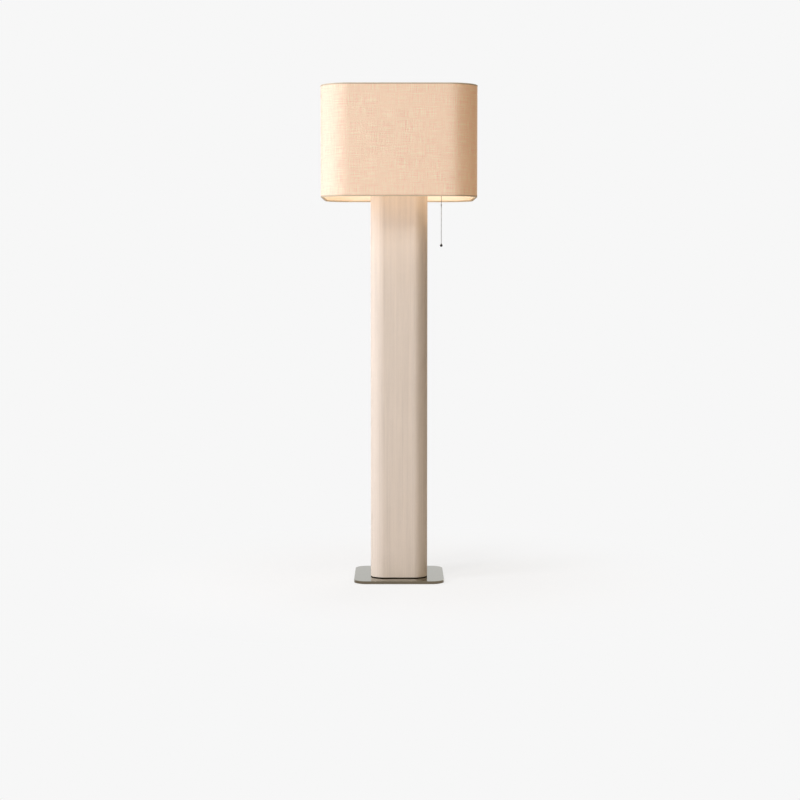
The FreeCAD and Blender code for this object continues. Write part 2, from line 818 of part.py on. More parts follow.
nodes = {
    "base_pad": make_base_pad(),
    "base_plate": make_base_plate(),
    "shadow_spacer": make_shadow_spacer(),
    "base_screws": make_base_screws(),
    "screw_inserts": make_screw_inserts(),
    "column_core": make_column_core(),
    "column_linen": make_column_linen(),
    "foot_block": make_foot_block(),
    "inner_boards": make_inner_boards(),
    "top_board": make_top_board(),
    "tie_tube": make_tie_tube(),
    "tube_washer": make_tube_washer(),
    "tube_nuts": make_tube_nuts(),
    "lead_bush": make_lead_bush(),
    "stem_sleeve": make_stem_sleeve(),
    "hub_cup": make_hub_cup(),
    "hub_lid": make_hub_lid(),
    "riser_tube": make_riser_tube(),
    "shade_seat": make_shade_seat(),
    "spider_washer": make_spider_washer(),
    "spider_arms": make_spider_arms(),
    "finial": make_finial(),
    "shade_linen": make_shade_linen(),
    "shade_liner": make_shade_liner(),
    "shade_top_ring": make_ring(top_ring_height),
    "shade_bottom_ring": make_ring(bottom_ring_height),
    "shade_top_hem": make_top_hem(),
    "shade_bottom_hem": make_hem(shade_bottom + hem_height, shade_bottom),
    "switch_housing": make_switch_housing(),
    "switch_cover": make_switch_cover(),
    "cover_screws": make_cover_screws(),
    "drum_axle": make_drum_axle(),
    "ratchet_drum": make_ratchet_drum(),
    "return_spring": make_return_spring(),
    "chain_guide": make_chain_guide(),
    "pull_hook": make_pull_hook(),
    "upper_chain": make_upper_chain(),
    "chain_coupling": make_chain_coupling(),
    "lower_chain": make_lower_chain(),
    "chain_bell": make_chain_bell(),
    "pull_ball": make_pull_ball(),
}
for side_name, side in (("left", -1), ("right", 1)):
    nodes[side_name + "_arm"] = make_arm(side)
    nodes[side_name + "_holder_lead"] = make_holder_lead(side)
    nodes[side_name + "_holder_cap"] = make_holder_cap(side)
    nodes[side_name + "_holder_shell"] = make_holder_shell(side)
    nodes[side_name + "_holder_insulator"] = make_holder_insulator(side)
    nodes[side_name + "_screw_shell"] = make_screw_shell(side)
    nodes[side_name + "_centre_contact"] = make_centre_contact(side)
    nodes[side_name + "_bulb_cap"] = make_bulb_cap(side)
    nodes[side_name + "_bulb_globe"] = make_globe(side)

os.makedirs("parts", exist_ok=True)
for name, shape in nodes.items():
    shape.exportStep("parts/" + name + ".step")
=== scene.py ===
import math
import bmesh
import bpy
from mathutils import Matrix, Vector


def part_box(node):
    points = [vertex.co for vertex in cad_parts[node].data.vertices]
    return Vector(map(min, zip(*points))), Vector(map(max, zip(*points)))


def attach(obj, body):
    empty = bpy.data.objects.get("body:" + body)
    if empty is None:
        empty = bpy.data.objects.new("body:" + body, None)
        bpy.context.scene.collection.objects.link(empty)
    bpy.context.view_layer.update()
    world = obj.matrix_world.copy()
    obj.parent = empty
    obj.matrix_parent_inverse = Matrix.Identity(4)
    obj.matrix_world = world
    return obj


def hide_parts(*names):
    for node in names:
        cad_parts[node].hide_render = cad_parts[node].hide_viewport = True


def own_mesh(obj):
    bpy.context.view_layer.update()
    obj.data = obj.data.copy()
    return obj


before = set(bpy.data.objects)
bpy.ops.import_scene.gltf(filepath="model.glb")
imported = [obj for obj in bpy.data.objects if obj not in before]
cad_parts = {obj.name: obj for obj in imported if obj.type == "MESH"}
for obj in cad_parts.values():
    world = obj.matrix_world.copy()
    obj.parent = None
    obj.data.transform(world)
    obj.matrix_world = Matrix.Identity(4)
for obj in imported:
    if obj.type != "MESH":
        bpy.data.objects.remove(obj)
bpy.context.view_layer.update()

# ---- The room: a pale floor and a soft studio light ----
# The lamp stands on a plain pale floor.  The main soft light stands to the left, with a higher one
# further to the front, and weaker ones to the right and behind.  The camera is a little over a metre up
# and looks down slightly.
room_white = 0.930
floor_half = 9.0
floor_grey = 0.8
floor_matt_share = 0.26
floor_lift = 0.124
shadow_reach = (0.25, 1.25)
world_light = 0.125
world_colour = (1, 0.84, 0.66)
camera_distance = 6.353
camera_height = 1.150
camera_pitch = math.radians(3.6)
camera_lens = 77.21
camera_shift = (0.0012, -0.0300)


def new_material(name):
    """An empty node material with its output, ready for a shader."""
    material = bpy.data.materials.new(name)
    material.use_nodes = True
    material.node_tree.nodes.clear()
    output = material.node_tree.nodes.new("ShaderNodeOutputMaterial")
    return material, material.node_tree, output


def join(tree, source, target):
    tree.links.new(source, target)


def number(tree, operation, first, second=None, third=None):
    """One sum on sockets or plain numbers, and its result's socket."""
    node = tree.nodes.new("ShaderNodeMath")
    node.operation = operation
    for socket, value in zip(node.inputs, (first, second, third)):
        if value is None:
            continue
        if isinstance(value, (int, float)):
            socket.default_value = value
        else:
            join(tree, value, socket)
    return node.outputs[0]


def seen_share(tree):
    """1 where a surface is seen directly, in a reflection or through glass, and 0 where it only lights."""
    path = tree.nodes.new("ShaderNodeLightPath")
    seen = number(tree, "MAXIMUM", path.outputs["Is Camera Ray"], path.outputs["Is Glossy Ray"])
    return number(tree, "MAXIMUM", seen, path.outputs["Is Transmission Ray"])


def make_floor():
    """The floor is as pale as the room.

    Within the shadow's reach a share of it is a matt surface that takes the lamp's soft shadow, and the
    rest shines a little more, so that the two together stay as pale.
    """
    mesh = bpy.data.meshes.new("studio_floor")
    corners = [(-floor_half, -floor_half, 0), (floor_half, -floor_half, 0),
               (floor_half, floor_half, 0), (-floor_half, floor_half, 0)]
    mesh.from_pydata(corners, [], [(0, 1, 2, 3)])
    floor = bpy.data.objects.new("studio_floor", mesh)
    bpy.context.scene.collection.objects.link(floor)
    material, tree, output = new_material("pale_floor")
    place = tree.nodes.new("ShaderNodeTexCoord")
    length = tree.nodes.new("ShaderNodeVectorMath")
    length.operation = "LENGTH"
    join(tree, place.outputs["Object"], length.inputs[0])
    near = tree.nodes.new("ShaderNodeMapRange")
    near.interpolation_type = "SMOOTHSTEP"
    near.inputs["From Min"].default_value, near.inputs["From Max"].default_value = shadow_reach
    near.inputs["To Min"].default_value, near.inputs["To Max"].default_value = 1, 0
    join(tree, length.outputs["Value"], near.inputs["Value"])
    near_share = near.outputs["Result"]
    matt = tree.nodes.new("ShaderNodeBsdfDiffuse")
    matt.inputs["Color"].default_value = (floor_grey, floor_grey, floor_grey, 1)
    plain = tree.nodes.new("ShaderNodeEmission")
    join(tree, number(tree, "MULTIPLY_ADD", near_share, floor_lift, room_white), plain.inputs["Strength"])
    share = tree.nodes.new("ShaderNodeMixShader")
    paper = number(tree, "MULTIPLY_ADD", near_share, -floor_matt_share, 1.0)
    join(tree, number(tree, "MULTIPLY", seen_share(tree), paper), share.inputs["Fac"])
    join(tree, matt.outputs[0], share.inputs[1])
    join(tree, plain.outputs[0], share.inputs[2])
    join(tree, share.outputs[0], output.inputs["Surface"])
    mesh.materials.append(material)


def make_world():
    """White where it is seen, like the floor, and a weak warm light on everything."""
    world = bpy.data.worlds.new("studio")
    world.use_nodes = True
    tree = world.node_tree
    tree.nodes.clear()
    output = tree.nodes.new("ShaderNodeOutputWorld")
    seen_sky = tree.nodes.new("ShaderNodeBackground")
    seen_sky.inputs["Color"].default_value = (1, 1, 1, 1)
    seen_sky.inputs["Strength"].default_value = room_white
    light_sky = tree.nodes.new("ShaderNodeBackground")
    light_sky.inputs["Color"].default_value = world_colour + (1,)
    light_sky.inputs["Strength"].default_value = world_light
    share = tree.nodes.new("ShaderNodeMixShader")
    join(tree, seen_share(tree), share.inputs["Fac"])
    join(tree, light_sky.outputs[0], share.inputs[1])
    join(tree, seen_sky.outputs[0], share.inputs[2])
    join(tree, share.outputs[0], output.inputs["Surface"])
    bpy.context.scene.world = world


def soft_light(name, place, target, size, power, colour):
    """A soft box that points at its target: a rectangle of light that isn't seen itself."""
    lamp = bpy.data.lights.new(name, "AREA")
    lamp.shape = "RECTANGLE"
    lamp.size, lamp.size_y = size
    lamp.energy = power
    lamp.color = colour
    obj = bpy.data.objects.new(name, lamp)
    obj.location = place
    obj.rotation_euler = (Vector(target) - Vector(place)).to_track_quat("-Z", "Y").to_euler()
    obj.visible_camera = False
    bpy.context.scene.collection.objects.link(obj)


def make_camera():
    camera = bpy.data.cameras.new("camera")
    camera.lens = camera_lens
    camera.sensor_width = 36
    camera.shift_x, camera.shift_y = camera_shift
    obj = bpy.data.objects.new("camera", camera)
    obj.location = (0, -camera_distance, camera_height)
    obj.rotation_euler = (math.pi / 2 - camera_pitch, 0, 0)
    bpy.context.scene.collection.objects.link(obj)
    bpy.context.scene.camera = obj


make_floor()
make_world()
make_camera()
soft_light("key_left", place=(-3.4, -1.8, 1.5), target=(0, 0, 1.0), size=(1.2, 2.8), power=122,
           colour=(0.94, 0.945, 1.02))
soft_light("high_front", place=(-3.3, -5.3, 4.9), target=(0, 0, 0.9), size=(1.8, 1.8), power=158,
           colour=(1.0, 0.94, 0.86))
soft_light("fill_right", place=(1.7, -0.9, 0.5), target=(0, 0, 0.5), size=(0.5, 1.0), power=4.5,
           colour=(1.0, 0.80, 0.60))
soft_light("back", place=(2.3, 4.7, 2.4), target=(0, 0, 1.0), size=(2.4, 2.4), power=70,
           colour=(1.0, 0.94, 0.86))
bpy.context.scene.view_settings.view_transform = "Standard"

# ---- The base plate ----
# A flat plate with round corners, cut from steel and finished in satin nickel, with a light brushed
# grain from side to side.  Its upright cut edge is painted darker as shade.  Four countersunk screws hold
# it from below.
plate_nickel = (0.225, 0.215, 0.165)
# Painted shade: the plate's upright faces take this darker colour.
plate_edge_shade = (0.165, 0.135, 0.095)
scratch_stretch = 0.02
scratch_detail = 3
smear_fineness = 9
smear_share = 0.5
grain_tone = 0.18
grain_spread = 0.25
grain_depth = 0.00005
grain_strength = 0.4


def new_group(name, kind, inputs, outputs):
    """An empty node group, with its sockets given by name and type, and the sockets on its inside."""
    group = bpy.data.node_groups.new(name, kind)
    for way, sockets in (("INPUT", inputs), ("OUTPUT", outputs)):
        for label, socket_type in sockets.items():
            group.interface.new_socket(name=label, in_out=way, socket_type="NodeSocket" + socket_type)
    given = group.nodes.new("NodeGroupInput").outputs
    result = group.nodes.new("NodeGroupOutput").inputs
    return group, given, result


def grain_group():
    """Fine straight scratches along X, and soft smears, as a roughness, a height and a tone."""
    group, given, result = new_group(
        "Brushed grain", "ShaderNodeTree",
        {"Fineness": "Float", "Roughness": "Float", "Spread": "Float"},
        {"Roughness": "Float", "Height": "Float", "Tone": "Float"})
    place = group.nodes.new("ShaderNodeTexCoord")
    stretch = group.nodes.new("ShaderNodeMapping")
    stretch.inputs["Scale"].default_value = (scratch_stretch, 1, 1)
    join(group, place.outputs["Object"], stretch.inputs["Vector"])
    scratches = group.nodes.new("ShaderNodeTexNoise")
    scratches.inputs["Detail"].default_value = scratch_detail
    join(group, stretch.outputs[0], scratches.inputs["Vector"])
    join(group, given["Fineness"], scratches.inputs["Scale"])
    smears = group.nodes.new("ShaderNodeTexNoise")
    smears.inputs["Scale"].default_value = smear_fineness
    join(group, place.outputs["Object"], smears.inputs["Vector"])
    centred = number(group, "SUBTRACT", scratches.outputs["Fac"], 0.5)
    clouds = number(group, "SUBTRACT", smears.outputs["Fac"], 0.5)
    both = number(group, "ADD", centred, number(group, "MULTIPLY", clouds, smear_share))
    spread = number(group, "MULTIPLY", both, given["Spread"])
    join(group, number(group, "ADD", given["Roughness"], spread), result["Roughness"])
    join(group, scratches.outputs["Fac"], result["Height"])
    join(group, number(group, "MULTIPLY_ADD", both, grain_tone, 1.0), result["Tone"])
    return group


brushed_grain = grain_group()


def tinted(tree, colour, tone):
    """A colour made lighter or darker by a tone that changes over the surface."""
    mix = tree.nodes.new("ShaderNodeMix")
    mix.data_type = "RGBA"
    mix.blend_type = "MULTIPLY"
    mix.inputs["Factor"].default_value = 1
    colour_in = mix.inputs["A"]
    if isinstance(colour, tuple):
        colour_in.default_value = colour + (1,)
    else:
        join(tree, colour, colour_in)
    join(tree, tone, mix.inputs["B"])
    return mix.outputs["Result"]


def between(tree, share, first, second):
    """One colour where the share is 0 and the other where it is 1."""
    mix = tree.nodes.new("ShaderNodeMix")
    mix.data_type = "RGBA"
    mix.inputs["A"].default_value = first + (1,)
    mix.inputs["B"].default_value = second + (1,)
    join(tree, share, mix.inputs["Factor"])
    return mix.outputs["Result"]


def bump(tree, height, distance, strength=1.0):
    """The normals of a surface whose relief is this deep, in metres."""
    node = tree.nodes.new("ShaderNodeBump")
    node.inputs["Distance"].default_value = distance
    node.inputs["Strength"].default_value = strength
    join(tree, height, node.inputs["Height"])
    return node.outputs[0]


def brushed_metal(name, colour, roughness, fineness=260.0, edge=None):
    """Brushed metal.  With an edge colour, its upright faces take that darker colour as painted shade."""
    material, tree, output = new_material(name)
    metal = tree.nodes.new("ShaderNodeBsdfPrincipled")
    metal.inputs["Metallic"].default_value = 1
    grain = tree.nodes.new("ShaderNodeGroup")
    grain.node_tree = brushed_grain
    grain.inputs["Fineness"].default_value = fineness
    grain.inputs["Roughness"].default_value = roughness
    grain.inputs["Spread"].default_value = grain_spread
    join(tree, grain.outputs["Roughness"], metal.inputs["Roughness"])
    if edge:
        surface = tree.nodes.new("ShaderNodeNewGeometry")
        ways = tree.nodes.new("ShaderNodeSeparateXYZ")
        join(tree, surface.outputs["Normal"], ways.inputs[0])
        level = number(tree, "ABSOLUTE", ways.outputs["Z"])
        colour = between(tree, number(tree, "SUBTRACT", 1.0, level), colour, edge)
    join(tree, tinted(tree, colour, grain.outputs["Tone"]), metal.inputs["Base Color"])
    fine_relief = bump(tree, grain.outputs["Height"], grain_depth, grain_strength)
    join(tree, fine_relief, metal.inputs["Normal"])
    join(tree, metal.outputs[0], output.inputs["Surface"])
    return material


def dress(material, *names):
    """Gives a finish to pieces that keep their own built shape."""
    for name in names:
        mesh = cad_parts[name].data
        mesh.materials.clear()
        mesh.materials.append(material)


dress(brushed_metal("satin_nickel_plate", plate_nickel, roughness=0.09, edge=plate_edge_shade), "base_plate")
zinc = brushed_metal("zinc_plate", (0.58, 0.59, 0.60), roughness=0.34)
dress(zinc, "base_screws", "screw_inserts", "tie_tube", "tube_washer", "tube_nuts")

# ---- The pad under the plate, the dark board in the gap and the boards in the column ----
# A thin foam sheet is glued under the plate, and a board between plate and column makes the
# narrow shadow gap; it is coloured near-black as painted shade in the gap.  The column's boards are bare,
# and only the top one shows, from inside the shade.


def mottled(name, colour, roughness, size, depth, contrast=0.3, glow=None, glow_strength=0.0):
    """A matt stuff with small cloudy changes of tone and a fine rough face, which may also glow.

    Size is how many clouds there are to a metre, and depth is the relief in metres.
    """
    material, tree, output = new_material(name)
    stuff = tree.nodes.new("ShaderNodeBsdfPrincipled")
    stuff.inputs["Roughness"].default_value = roughness
    if glow:
        stuff.inputs["Emission Color"].default_value = glow + (1,)
        stuff.inputs["Emission Strength"].default_value = glow_strength
    place = tree.nodes.new("ShaderNodeTexCoord")
    noise = tree.nodes.new("ShaderNodeTexNoise")
    noise.inputs["Scale"].default_value = size
    noise.inputs["Detail"].default_value = 5
    join(tree, place.outputs["Object"], noise.inputs["Vector"])
    swing = number(tree, "MULTIPLY", number(tree, "SUBTRACT", noise.outputs["Fac"], 0.5), contrast)
    tone = number(tree, "ADD", 1.0, swing)
    join(tree, tinted(tree, colour, tone), stuff.inputs["Base Color"])
    join(tree, bump(tree, noise.outputs["Fac"], depth), stuff.inputs["Normal"])
    join(tree, stuff.outputs[0], output.inputs["Surface"])
    return material


foam = mottled("foam_sheet", (0.03, 0.03, 0.03), roughness=0.9, size=700, depth=0.0003)
black_board = mottled("black_board", (0.03, 0.016, 0.010), roughness=0.6, size=300, depth=0.0001)
board = mottled("bare_board", (0.46, 0.33, 0.21), roughness=0.75, size=220, depth=0.0001, contrast=0.5)
dress(foam, "base_pad")
dress(black_board, "shadow_spacer")
dress(board, "column_core", "foot_block", "inner_boards", "top_board")

# ---- The column's linen ----
# A length of fine-ribbed linen is wrapped tight round the column, glued, and butted in a seam
# down the back.  Its ribs run from top to bottom, some a little lighter than others.
column_tone = (0.82, 0.72, 0.62)
column_low, column_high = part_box("column_linen")
column_corner = 0.050
column_cloth = 0.0009
column_rows = 8
column_weft_pitch = 0.0017
rib_pitch = 0.0021
rib_depth = 0.00018
rib_stations = 4
seam_width = 0.0012
seam_depth = 0.0005
sharp_edge = math.radians(40)
yarn_sway = 0.0008
yarn_sway_size = 0.012
slub_width = 0.0026
level_slub = 0.055
upright_slub = 0.045
slub_patch = (0.07, 0.05)
patch_contrast = 3.0
least_patch = 0.15
fine_streak = (0.0045, 0.9)
broad_streak = (0.018, 0.35)
# Painted shade between the yarns: how much darker the cloth's colour is in the weave's gaps.
gap_shade = 0.45
least_glow = 0.25


def square_path(half, corner, spacing):
    """Stations round a square with round corners, from the middle of the back.

    Each has its place, the way that points outwards and the length gone.  A quarter of the path runs
    from the middle of one side to the middle of the next, and all the stations' lengths go up evenly.
    """
    straight = half - corner
    bend = corner * math.pi / 2
    quarter_length = 2 * straight + bend
    steps = math.ceil(quarter_length / spacing)
    stations = []
    for quarter in range(4):
        cos, sin = math.cos(-quarter * math.pi / 2), math.sin(-quarter * math.pi / 2)
        for step in range(steps):
            way = quarter_length * step / steps
            if way < straight:
                x, y, angle = way, half, 0.0
            elif way < straight + bend:
                angle = (way - straight) / corner
                x = straight + corner * math.sin(angle)
                y = straight + corner * math.cos(angle)
            else:
                x, y, angle = half, straight - (way - straight - bend), math.pi / 2
            out_x, out_y = math.sin(angle), math.cos(angle)
            place = (x * cos - y * sin, x * sin + y * cos)
            outward = (out_x * cos - out_y * sin, out_x * sin + out_y * cos)
            stations.append((place, outward, quarter * quarter_length + way))
    return stations, 4 * quarter_length


def new_piece(name, mesh):
    """A piece with its faces pointing outwards, smooth but for its sharp edges."""
    shape = bmesh.new()
    shape.from_mesh(mesh)
    bmesh.ops.recalc_face_normals(shape, faces=shape.faces)
    shape.to_mesh(mesh)
    shape.free()
    mesh.shade_smooth()
    mesh.set_sharp_from_angle(angle=sharp_edge)
    piece = bpy.data.objects.new(name, mesh)
    bpy.context.scene.collection.objects.link(piece)
    return piece


def wrapped(name, stations, total, outline, offset):
    """Sweeps a closed outline of (distance out, height) round a path.

    offset(way, index) moves a point out.  The cloth_uv map is the flat cloth, in metres.
    """
    mesh = bpy.data.meshes.new(name)
    vertices = []
    for (x, y), (out_x, out_y), way in stations:
        for index, (out, height) in enumerate(outline):
            shift = out + offset(way, index)
            vertices.append((x + out_x * shift, y + out_y * shift, height))
    size = len(outline)
    spans = [0.0]
    for (out_0, z_0), (out_1, z_1) in zip(outline, outline[1:] + outline[:1]):
        spans.append(spans[-1] + math.hypot(out_1 - out_0, z_1 - z_0))
    ways = [way for _, _, way in stations] + [total]
    faces = []
    flat = []
    for step in range(len(stations)):
        here, after = step * size, (step + 1) % len(stations) * size
        for index in range(size):
            up = (index + 1) % size
            faces.append((here + index, here + up, after + up, after + index))
            flat += [(ways[step], spans[index]), (ways[step], spans[index + 1]),
                     (ways[step + 1], spans[index + 1]), (ways[step + 1], spans[index])]
    mesh.from_pydata(vertices, [], faces)
    uv = mesh.uv_layers.new(name="cloth_uv")
    for corner, place in enumerate(flat):
        uv.data[corner].uv = place
    return new_piece(name, mesh)


def stretched_noise(tree, place, across, along):
    """Noise round 0 on the flat cloth, this many metres long sideways and upwards."""
    stretch = tree.nodes.new("ShaderNodeMapping")
    stretch.inputs["Scale"].default_value = (1 / across, 1 / along, 1)
    join(tree, place, stretch.inputs["Vector"])
    noise = tree.nodes.new("ShaderNodeTexNoise")
    noise.inputs["Scale"].default_value = 1
    noise.inputs["Detail"].default_value = 2
    join(tree, stretch.outputs[0], noise.inputs["Vector"])
    return number(tree, "SUBTRACT", noise.outputs["Fac"], 0.5)


def weave_group():
    """A plain weave on a flat cloth: threads that pass over and under, with thick and thin places.

    Streak is for long changes of tone up and down, and Slub for short thick places both ways.
    """
    group, given, result = new_group(
        "Linen weave", "ShaderNodeTree",
        {"Place": "Vector", "Warp pitch": "Float", "Weft pitch": "Float", "Slub": "Float",
         "Streak": "Float"},
        {"Height": "Float", "Thickness": "Float", "Gap": "Float"})
    place = given["Place"]
    parts = group.nodes.new("ShaderNodeSeparateXYZ")
    join(group, place, parts.inputs[0])
    waver = stretched_noise(group, place, yarn_sway_size, yarn_sway_size)
    sway = number(group, "MULTIPLY", waver, yarn_sway)
    warp = number(group, "ADD", parts.outputs["X"], sway)
    weft = number(group, "ADD", parts.outputs["Y"], sway)
    warp = number(group, "MULTIPLY", number(group, "DIVIDE", warp, given["Warp pitch"]), math.pi)
    weft = number(group, "MULTIPLY", number(group, "DIVIDE", weft, given["Weft pitch"]), math.pi)
    warp_top = number(group, "ABSOLUTE", number(group, "COSINE", warp))
    weft_top = number(group, "ABSOLUTE", number(group, "COSINE", weft))
    over = number(group, "MULTIPLY", number(group, "SINE", warp), number(group, "SINE", weft))
    over = number(group, "MULTIPLY_ADD", over, 0.5, 0.5)
    under = number(group, "SUBTRACT", 1.0, over)
    height = number(group, "MAXIMUM", number(group, "MULTIPLY", warp_top, over),
                    number(group, "MULTIPLY", weft_top, under))
    gap = number(group, "MULTIPLY", number(group, "SUBTRACT", 1.0, warp_top),
                 number(group, "SUBTRACT", 1.0, weft_top))
    slub = number(group, "ADD", stretched_noise(group, place, level_slub, slub_width),
                  stretched_noise(group, place, slub_width, upright_slub))
    patches = number(group, "MULTIPLY_ADD", stretched_noise(group, place, *slub_patch), patch_contrast, 1.0)
    slub = number(group, "MULTIPLY", slub, number(group, "MAXIMUM", patches, least_patch))
    slub = number(group, "MULTIPLY", slub, given["Slub"])
    streak = number(group, "ADD", stretched_noise(group, place, *fine_streak),
                    stretched_noise(group, place, *broad_streak))
    streak = number(group, "MULTIPLY", streak, given["Streak"])
    join(group, number(group, "ADD", height, slub), result["Height"])
    join(group, number(group, "ADD", slub, streak), result["Thickness"])
    join(group, gap, result["Gap"])
    return group


linen_weave = weave_group()


def linen(name, colour, pitches, slub, streak, depth, contrast=0.3, glow=None, glow_contrast=0.0):
    """Linen cloth: weave, thick and thin yarns, a soft sheen, and any light that comes through it."""
    material, tree, output = new_material(name)
    cloth = tree.nodes.new("ShaderNodeBsdfPrincipled")
    cloth.inputs["Roughness"].default_value = 0.9
    cloth.inputs["Specular IOR Level"].default_value = 0.25
    cloth.inputs["Sheen Weight"].default_value = 0.12
    cloth.inputs["Sheen Roughness"].default_value = 0.5
    flat = tree.nodes.new("ShaderNodeUVMap")
    flat.uv_map = "cloth_uv"
    weave = tree.nodes.new("ShaderNodeGroup")
    weave.node_tree = linen_weave
    join(tree, flat.outputs[0], weave.inputs["Place"])
    weave.inputs["Warp pitch"].default_value, weave.inputs["Weft pitch"].default_value = pitches
    weave.inputs["Slub"].default_value = slub
    weave.inputs["Streak"].default_value = streak
    thickness = weave.outputs["Thickness"]
    # Painted shade: the base colour is darker in the gaps between the yarns.
    shaded_gaps = number(tree, "MULTIPLY_ADD", weave.outputs["Gap"], -gap_shade, 1.0)
    tone = number(tree, "MULTIPLY", number(tree, "MULTIPLY_ADD", thickness, -contrast, 1.0), shaded_gaps)
    join(tree, tinted(tree, colour, tone), cloth.inputs["Base Color"])
    join(tree, bump(tree, weave.outputs["Height"], depth), cloth.inputs["Normal"])
    if glow:
        through = number(tree, "MULTIPLY_ADD", thickness, -glow_contrast, 1.0)
        through = number(tree, "MAXIMUM", through, least_glow)
        join(tree, tinted(tree, glow, through), cloth.inputs["Emission Color"])
        cloth.inputs["Emission Strength"].default_value = 1
    join(tree, cloth.outputs[0], output.inputs["Surface"])
    return material


def make_column_linen():
    """The cloth goes once round the column, with real ribs and a shallow groove for the seam."""
    low, high = column_low[2], column_high[2]
    middle_half = column_high[0] - rib_depth
    stations, total = square_path(middle_half, column_corner - rib_depth, rib_pitch / rib_stations)
    rib_count = round(total / rib_pitch)
    face = [low + (high - low) * row / column_rows for row in range(column_rows + 1)]
    outline = [(0.0, height) for height in face] + [(-column_cloth, high), (-column_cloth, low)]

    def rib(way, index):
        if index > column_rows:
            return 0.0
        if min(way, total - way) < seam_width:
            return -seam_depth
        return rib_depth * math.cos(2 * math.pi * rib_count * way / total)

    piece = wrapped("column_linen_wrap", stations, total, outline, rib)
    cloth = linen("column_linen", column_tone, (rib_pitch, column_weft_pitch), slub=0.16, streak=0.42,
                  depth=0.0003, contrast=0.45)
    piece.data.materials.append(cloth)
    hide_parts("column_linen")
    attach(piece, "stand")


make_column_linen()

# ---- The shade ----
# Coarse linen is laminated to a stiff film, rolled round two wire rings and lapped at the back.
# The light inside shows through it, less where the yarns are thick.  Tape covers both edges: the same
# linen, coloured darker as painted shade from the rings and the double fold.
shade_tone = (0.90, 0.81, 0.68)
shade_glow = (0.265, 0.112, 0.034)
shade_pitches = (0.0024, 0.0022)
shade_low, shade_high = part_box("shade_linen")
shade_corner = 0.105
shade_cloth = 0.0007
shade_rows = 12
shade_spacing = 0.006
lap_width = 0.012
lap_height = 0.0004
# Painted shade: the tape's linen is coloured darker than the shade's own.
tape_shaded_tone = (0.56, 0.49, 0.38)
tape_glow = (0.09, 0.055, 0.025)
tape_pitches = (0.0016, 0.0016)
tape_thickness = 0.0006
tape_inward = 0.0078


def make_shade_linen():
    """The cloth goes once round the shade, and stands a little higher where it is lapped."""
    low, high = shade_low[2], shade_high[2]
    stations, total = square_path(shade_high[0], shade_corner, shade_spacing)
    face = [low + (high - low) * row / shade_rows for row in range(shade_rows + 1)]
    outline = [(0.0, height) for height in face] + [(-shade_cloth, high), (-shade_cloth, low)]

    def lap(way, index):
        return lap_height if index <= shade_rows and way <= lap_width else 0.0

    piece = wrapped("shade_linen_drum", stations, total, outline, lap)
    cloth = linen("shade_linen", shade_tone, shade_pitches, slub=0.62, streak=0.08, depth=0.0014,
                  contrast=0.6, glow=shade_glow, glow_contrast=0.8)
    piece.data.materials.append(cloth)
    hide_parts("shade_linen")
    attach(piece, "stand")


def make_tape(name, node, fold_up):
    """Linen tape, folded over an edge of the shade and its ring, and glued on both sides."""
    low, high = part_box(node)
    bottom, top = low[2], high[2]
    thick = tape_thickness
    inner = -tape_inward
    profile = [(0.0, bottom), (0.0, top - thick), (-thick, top), (inner + thick, top),
               (inner, top - thick), (inner, bottom), (inner + thick, bottom),
               (inner + thick, top - thick), (-thick, top - thick), (-thick, bottom)]
    if not fold_up:
        profile = [(out, bottom + top - height) for out, height in profile]
    stations, total = square_path(high[0], shade_corner + thick, shade_spacing)
    piece = wrapped(name, stations, total, profile, lambda way, index: 0.0)
    piece.data.materials.append(tape_linen)
    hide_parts(node)
    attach(piece, "stand")


make_shade_linen()
tape_linen = linen("tape_linen", tape_shaded_tone, tape_pitches, slub=0.3, streak=0.1, depth=0.0003,
                   glow=tape_glow, glow_contrast=1.0)
make_tape("top_hem_tape", "shade_top_hem", True)
make_tape("bottom_hem_tape", "shade_bottom_hem", False)

# ---- The film inside the shade, its rings and its spider ----
# White film lines the shade.  The bulbs' lights colour it warm, and a faint painted glow adds to
# that.  The rings and the four arms are steel wire with a white powder coat.
film_glow = (1.0, 0.76, 0.52)
film = mottled("shade_film", (0.84, 0.80, 0.74), roughness=0.6, size=40, depth=0.00002, contrast=0.06,
               glow=film_glow, glow_strength=0.22)
dress(film, "shade_liner")
powder_coat = mottled("white_powder_coat", (0.80, 0.78, 0.73), roughness=0.5, size=900, depth=0.00006,
                      contrast=0.1)
dress(powder_coat, "shade_top_ring", "shade_bottom_ring", "spider_arms", "spider_washer", "shade_seat")

# ---- The hub, arms, lamp holders and finial ----
# A turned cup with a lid carries two bent tubes, and each tube a lamp holder with a rolled lip.  A
# round knob screws down on the shade's carrier.  All are satin nickel, with dark mouldings and brass
# contacts inside.
hub_nickel = (0.60, 0.57, 0.52)
turned_steps = 48
lip_roll = 0.0008
holder_wall = 0.0008
cap_collar = 0.0068
cap_collar_height = 0.0015
cap_shoulder = 0.009
cap_curve = 0.004
cap_curve_drop = 0.002
cap_curve_turns = (0.4, 0.8, 1.2, 1.57)
cap_inner_shoulder = 0.003
cap_bore = 0.0053
cap_bore_height = 0.0055
finial_ball = 0.008
finial_foot = 0.0070
finial_foot_height = 0.0020
finial_neck = 0.0050
finial_neck_start = 0.0030
finial_neck_drop = 0.0064
nickel = brushed_metal("satin_nickel", hub_nickel, roughness=0.24)
moulded = mottled("black_moulding", (0.025, 0.025, 0.025), roughness=0.42, size=600, depth=0.00005)
brass = brushed_metal("plain_brass", (0.70, 0.50, 0.22), roughness=0.3)


